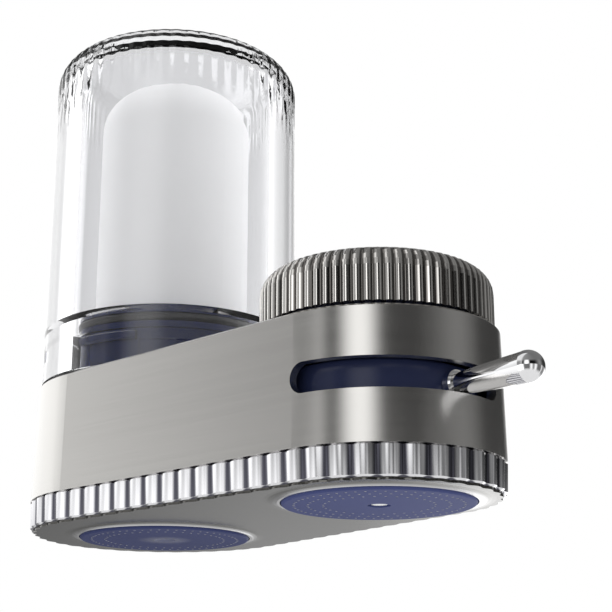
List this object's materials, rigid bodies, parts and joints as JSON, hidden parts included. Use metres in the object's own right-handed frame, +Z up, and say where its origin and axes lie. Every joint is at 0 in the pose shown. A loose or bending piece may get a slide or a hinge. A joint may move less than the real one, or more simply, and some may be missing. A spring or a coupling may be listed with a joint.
{
  "type": "faucet mount water filter",
  "caption": "Faucet mount water filter: tapered housing with fluted band, clear domed cover over a white candle, swivel nut, selector lever and two round outlets.",
  "frame": {"origin": "centre of the faucet thread's mouth, on the faucet's axis", "axes": "+Z up along the faucet's axis, +X from the cartridge towards the faucet, outlets facing -Z"},
  "size_m": [0.154, 0.0668, 0.1279],
  "materials": {
    "brushed_housing": "brushed satin",
    "plated_band": "bright plated",
    "satin_plate": "satin",
    "navy_plastic": "gloss",
    "polished_chrome": "polished",
    "plated_nut": "bright plated",
    "clear_plastic": "clear polished",
    "white_ceramic": "matte",
    "inner_plastic": "moulded",
    "black_rubber": "smooth",
    "dense_ceramic": "lapped",
    "plated_brass": "plated",
    "screw_steel": "plain"
  },
  "bodies": {
    "body": {"housing_shell": "brushed_housing", "fluted_band": "plated_band", "base_plate": "satin_plate", "water_manifold": "inner_plastic", "manifold_screws": "screw_steel", "filtered_outlet_disc": "navy_plastic", "filtered_outlet_cup": "navy_plastic", "filtered_outlet_gasket": "black_rubber", "spray_outlet_disc": "navy_plastic", "spray_outlet_cup": "navy_plastic", "spray_outlet_gasket": "black_rubber", "stream_nozzle": "polished_chrome", "inlet_neck": "inner_plastic", "ceramic_seat_seal": "black_rubber", "fixed_ceramic_disc": "dense_ceramic", "cartridge_collar": "navy_plastic", "cartridge_seat": "navy_plastic", "collar_o_ring": "black_rubber", "cover_gasket": "black_rubber"},
    "valve": {"valve_rotor": "navy_plastic", "moving_ceramic_disc": "dense_ceramic", "rotor_o_ring": "black_rubber", "selector_lever": "polished_chrome"},
    "adapter": {"faucet_adapter": "plated_brass", "neck_washer": "black_rubber", "faucet_washer": "black_rubber", "inlet_strainer": "screw_steel"},
    "nut": {"swivel_nut": "plated_nut"},
    "cartridge": {"ceramic_candle": "white_ceramic", "candle_cap": "inner_plastic", "spigot_o_ring": "black_rubber"},
    "cover": {"clear_cover": "clear_plastic"}
  },
  "joints": [
    {"name": "lever_turn", "type": "hinge", "parent": "body", "child": "valve", "pos_m": [0, 0, -0.03], "axis": [0, 0, 1], "range_deg": [-68, 0]},
    {"name": "adapter_lift", "type": "slide", "parent": "body", "child": "adapter", "axis": [0, 0, 1], "range_m": [0, 0.004]},
    {"name": "nut_turn", "type": "hinge", "parent": "adapter", "child": "nut", "pos_m": [0, 0, -0.008], "axis": [0, 0, 1], "range_deg": [0, 720.5]},
    {"name": "cartridge_lift", "type": "slide", "parent": "body", "child": "cartridge", "axis": [0, 0, 1], "range_m": [0, 0.03]},
    {"name": "cover_twist", "type": "hinge", "parent": "cartridge", "child": "cover", "pos_m": [-0.0745, 0, 0], "axis": [0, 0, 1], "range_deg": [-45, 0]}
  ],
  "couplings": [
    {"joint": "nut_turn", "follows": "adapter_lift", "rad_per_m": 3141.6}
  ]
}
